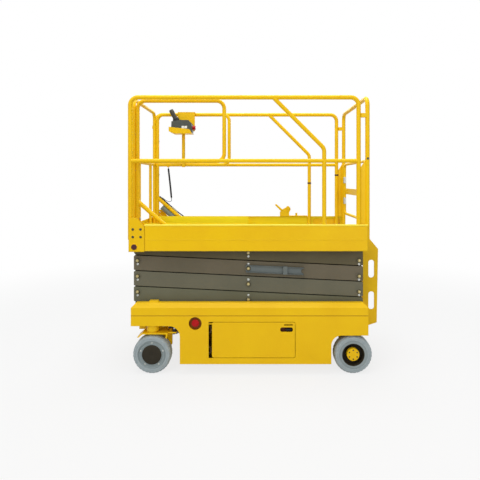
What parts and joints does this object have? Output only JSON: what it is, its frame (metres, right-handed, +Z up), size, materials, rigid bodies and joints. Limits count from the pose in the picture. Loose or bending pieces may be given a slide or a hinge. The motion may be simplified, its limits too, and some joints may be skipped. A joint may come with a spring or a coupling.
{
  "type": "scissor lift",
  "caption": "Electric scissor lift that raises a railed platform on stacked crossed arms, with a roll-out deck, entry gate, steered front wheels and swing-out side trays.",
  "frame": {"origin": "on the ground under the middle of the machine's box", "axes": "+X to the rear, where the ladder and the gate are; +Y to the machine's right-hand side in the picture's depth, away from the viewer; +Z up"},
  "size_m": [2.46, 1.15, 2.6416],
  "materials": {
    "yellow_paint": "semi-gloss",
    "arm_paint": "satin",
    "prop_paint": "satin",
    "dark_steel": "satin",
    "zinc_steel": "satin",
    "tyre": "matte, non-marking",
    "hub": "satin",
    "red_plastic": "gloss",
    "grey_plastic": "matte",
    "black_rubber": "matte",
    "battery_case": "matte"
  },
  "bodies": {
    "chassis": {"chassis_frame": "yellow_paint", "chassis_deck": "yellow_paint", "axle_mounts": "yellow_paint", "rear_axle": "dark_steel", "side_skirts": "yellow_paint", "end_panels": "yellow_paint", "emergency_stop": "red_plastic", "scissor_base": "yellow_paint", "ladder": "yellow_paint"},
    "tray_left": {"tray_door_left": "yellow_paint", "tray_left": "dark_steel", "batteries": "battery_case"},
    "tray_right": {"tray_door_right": "yellow_paint", "tray_right": "dark_steel", "power_unit": "dark_steel"},
    "knuckle_left": {"knuckle_left": "yellow_paint"},
    "knuckle_right": {"knuckle_right": "yellow_paint"},
    "tie_rod": {"tie_rod": "dark_steel"},
    "lift_barrel": {"lift_cylinder_barrel": "dark_steel"},
    "lift_rod": {"lift_cylinder_rod": "zinc_steel"},
    "platform": {"platform_frame": "yellow_paint", "side_rail_left": "yellow_paint", "side_rail_right": "yellow_paint", "rear_hoop": "yellow_paint", "deck_lock": "yellow_paint"},
    "gate": {"entry_gate": "yellow_paint"},
    "rollout": {"rollout_deck": "yellow_paint", "rollout_rail": "yellow_paint", "control_cradle": "yellow_paint", "control_box": "grey_plastic", "control_cable": "black_rubber", "cable_tail": "black_rubber", "brace_cable": "black_rubber", "document_tube": "grey_plastic"},
    "outer_1": {"outer_arms_1": "arm_paint"},
    "inner_1": {"inner_arms_1": "arm_paint"},
    "outer_2": {"outer_arms_2": "arm_paint"},
    "inner_2": {"inner_arms_2": "arm_paint"},
    "outer_3": {"outer_arms_3": "arm_paint", "safety_prop": "prop_paint"},
    "inner_3": {"inner_arms_3": "arm_paint"},
    "outer_4": {"outer_arms_4": "arm_paint"},
    "inner_4": {"inner_arms_4": "arm_paint"},
    "wheel_front_left": {"tyre_front_left": "tyre", "rim_front_left": "hub"},
    "wheel_front_right": {"tyre_front_right": "tyre", "rim_front_right": "hub"},
    "wheel_rear_left": {"tyre_rear_left": "tyre", "rim_rear_left": "hub"},
    "wheel_rear_right": {"tyre_rear_right": "tyre", "rim_rear_right": "hub"}
  },
  "joints": [
    {"name": "lift", "type": "hinge", "parent": "chassis", "child": "outer_1", "pos_m": [0.976, 0, 0.602], "axis": [0, 1, 0], "range_deg": [0, 55]},
    {"name": "centre_1", "type": "hinge", "parent": "outer_1", "child": "inner_1", "pos_m": [-0.09, 0, 0.677], "axis": [0, 1, 0], "range_deg": [-110.1, 0]},
    {"name": "front_1", "type": "hinge", "parent": "outer_1", "child": "inner_2", "pos_m": [-1.156, 0, 0.752], "axis": [0, 1, 0], "range_deg": [-110.1, 0]},
    {"name": "centre_2", "type": "hinge", "parent": "inner_2", "child": "outer_2", "pos_m": [-0.09, 0, 0.827], "axis": [0, 1, 0], "range_deg": [0, 110.1]},
    {"name": "rear_2", "type": "hinge", "parent": "inner_2", "child": "outer_3", "pos_m": [0.976, 0, 0.902], "axis": [0, 1, 0], "range_deg": [0, 110.1]},
    {"name": "centre_3", "type": "hinge", "parent": "outer_3", "child": "inner_3", "pos_m": [-0.09, 0, 0.977], "axis": [0, 1, 0], "range_deg": [-110.1, 0]},
    {"name": "front_3", "type": "hinge", "parent": "outer_3", "child": "inner_4", "pos_m": [-1.156, 0, 1.052], "axis": [0, 1, 0], "range_deg": [-110.1, 0]},
    {"name": "centre_4", "type": "hinge", "parent": "inner_4", "child": "outer_4", "pos_m": [-0.09, 0, 1.127], "axis": [0, 1, 0], "range_deg": [0, 110.1]},
    {"name": "rear_4", "type": "hinge", "parent": "inner_4", "child": "platform", "pos_m": [0.976, 0, 1.202], "axis": [0, 1, 0], "range_deg": [0, 55.1]},
    {"name": "cylinder_foot", "type": "hinge", "parent": "chassis", "child": "lift_barrel", "pos_m": [0.5924, 0, 0.3209], "axis": [0, 1, 0], "range_deg": [0, 55]},
    {"name": "cylinder_stroke", "type": "slide", "parent": "lift_barrel", "child": "lift_rod", "axis": [-0.9066, 0, 0.4221], "range_m": [0, 0.304]},
    {"name": "steer", "type": "hinge", "parent": "chassis", "child": "knuckle_left", "pos_m": [-1, -0.505, 0.3], "axis": [0, 0, 1], "range_deg": [-40, 40]},
    {"name": "steer_right", "type": "hinge", "parent": "chassis", "child": "knuckle_right", "pos_m": [-1, 0.505, 0.3], "axis": [0, 0, 1], "range_deg": [-40.1, 40.1]},
    {"name": "tie_rod_left", "type": "hinge", "parent": "knuckle_left", "child": "tie_rod", "pos_m": [-0.795, -0.505, 0.395], "axis": [0, 0, 1], "range_deg": [-40.1, 40.1]},
    {"name": "wheel_front_left", "type": "hinge", "parent": "knuckle_left", "child": "wheel_front_left", "pos_m": [-1, -0.505, 0.179], "axis": [0, 1, 0], "continuous": true},
    {"name": "wheel_rear_left", "type": "hinge", "parent": "chassis", "child": "wheel_rear_left", "pos_m": [0.9, -0.505, 0.179], "axis": [0, 1, 0], "continuous": true},
    {"name": "tray_left", "type": "hinge", "parent": "chassis", "child": "tray_left", "pos_m": [-0.443, -0.567, 0.3], "axis": [0, 0, 1], "range_deg": [-100, 0]},
    {"name": "wheel_front_right", "type": "hinge", "parent": "knuckle_right", "child": "wheel_front_right", "pos_m": [-1, 0.505, 0.179], "axis": [0, 1, 0], "continuous": true},
    {"name": "wheel_rear_right", "type": "hinge", "parent": "chassis", "child": "wheel_rear_right", "pos_m": [0.9, 0.505, 0.179], "axis": [0, 1, 0], "continuous": true},
    {"name": "tray_right", "type": "hinge", "parent": "chassis", "child": "tray_right", "pos_m": [-0.443, 0.567, 0.3], "axis": [0, 0, 1], "range_deg": [0, 100]},
    {"name": "rollout", "type": "slide", "parent": "platform", "child": "rollout", "axis": [-1, 0, 0], "range_m": [0, 0.9]},
    {"name": "gate", "type": "hinge", "parent": "platform", "child": "gate", "pos_m": [1.04, 0.492, 1.7], "axis": [0, 0, 1], "range_deg": [-90, 0]}
  ],
  "couplings": [
    {"joint": "centre_1", "follows": "lift", "ratio": -2},
    {"joint": "front_1", "follows": "lift", "ratio": -2},
    {"joint": "centre_2", "follows": "lift", "ratio": 2},
    {"joint": "rear_2", "follows": "lift", "ratio": 2},
    {"joint": "centre_3", "follows": "lift", "ratio": -2},
    {"joint": "front_3", "follows": "lift", "ratio": -2},
    {"joint": "centre_4", "follows": "lift", "ratio": 2},
    {"joint": "rear_4", "follows": "lift", "ratio": 1},
    {"joint": "cylinder_foot", "follows": "lift", "ratio": 0.9959},
    {"joint": "cylinder_stroke", "follows": "lift", "m_per_rad": 0.3151},
    {"joint": "steer_right", "follows": "steer", "ratio": 1},
    {"joint": "tie_rod_left", "follows": "steer", "ratio": -1}
  ]
}
